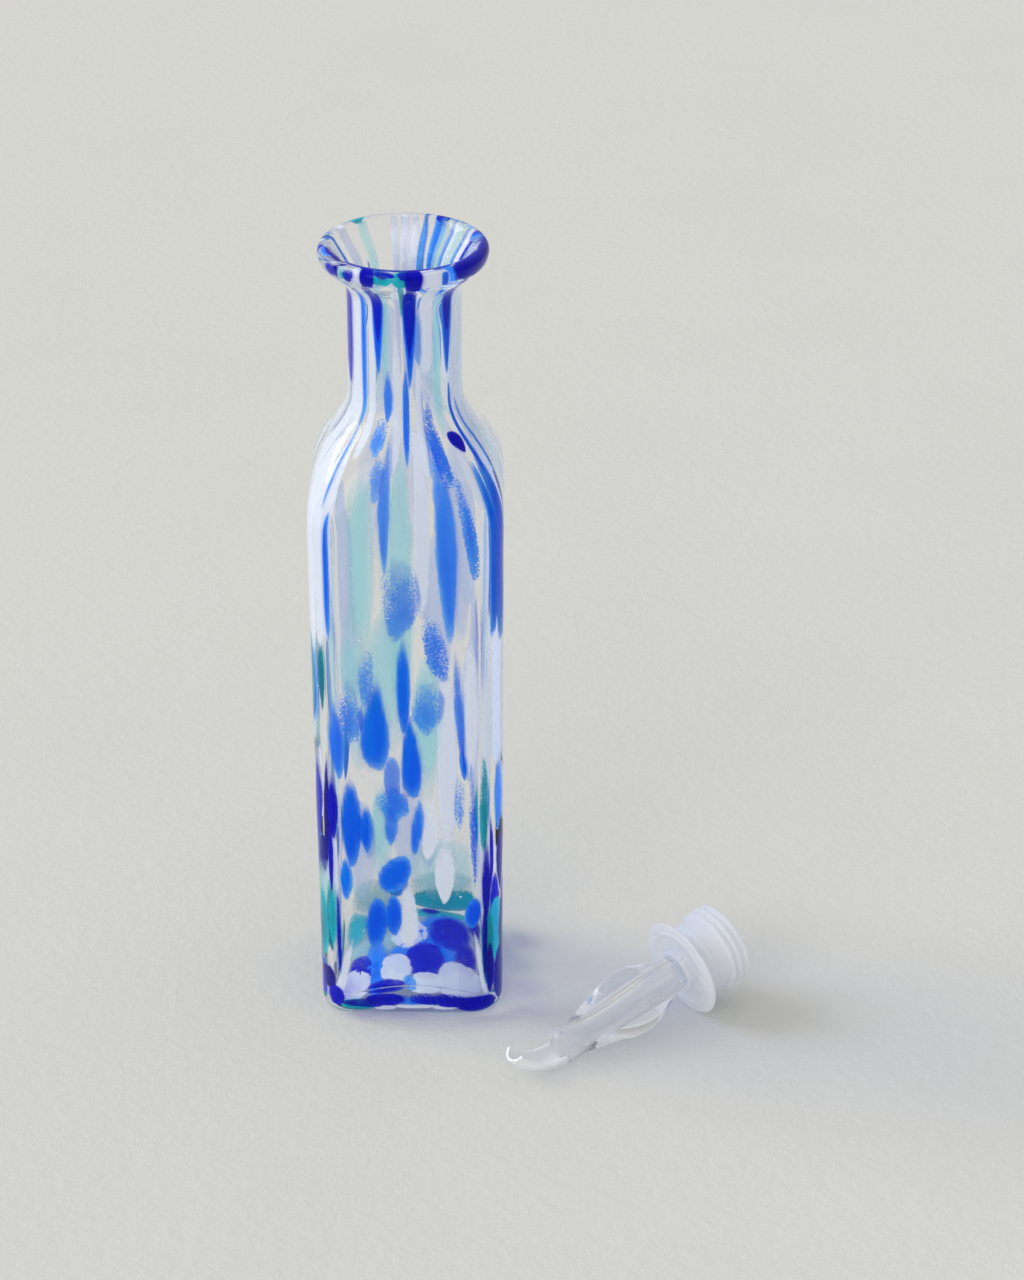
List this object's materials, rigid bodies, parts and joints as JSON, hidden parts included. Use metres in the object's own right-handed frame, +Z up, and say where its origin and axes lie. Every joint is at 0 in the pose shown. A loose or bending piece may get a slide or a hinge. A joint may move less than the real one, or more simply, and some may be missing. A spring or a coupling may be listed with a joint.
{
  "type": "oil bottle",
  "caption": "Square glass oil bottle with round neck, flared lip and melted-in colour flecks, its drip pourer beside it: a finned soft stopper and a clear spout with a curled gutter.",
  "frame": {"origin": "middle of the bottle's flat foot, on the surface it stands on", "axes": "+Z up the bottle, -Y towards the viewer of the picture, +X to the side where the pourer lies"},
  "size_m": [0.1417, 0.0999, 0.2615],
  "materials": {
    "flecked_glass": "clear, slightly wavy, with cobalt, navy, turquoise and white flecks in the wall",
    "milky_plastic": "satin, milky and a little see-through",
    "clear_plastic": "clear and glossy"
  },
  "bodies": {
    "bottle": {"glass_bottle": "flecked_glass"},
    "spout": {"pourer_spout": "clear_plastic"},
    "stopper": {"pourer_stopper": "milky_plastic"}
  },
  "joints": [
    {"name": "pourer_lift", "type": "slide", "parent": "bottle", "child": "spout", "axis": [0, 0, 1], "range_m": [0, 0.3]},
    {"name": "stopper_pull", "type": "slide", "parent": "spout", "child": "stopper", "axis": [0.7813, 0.5887, 0.2074], "range_m": [0, 0.014]}
  ]
}
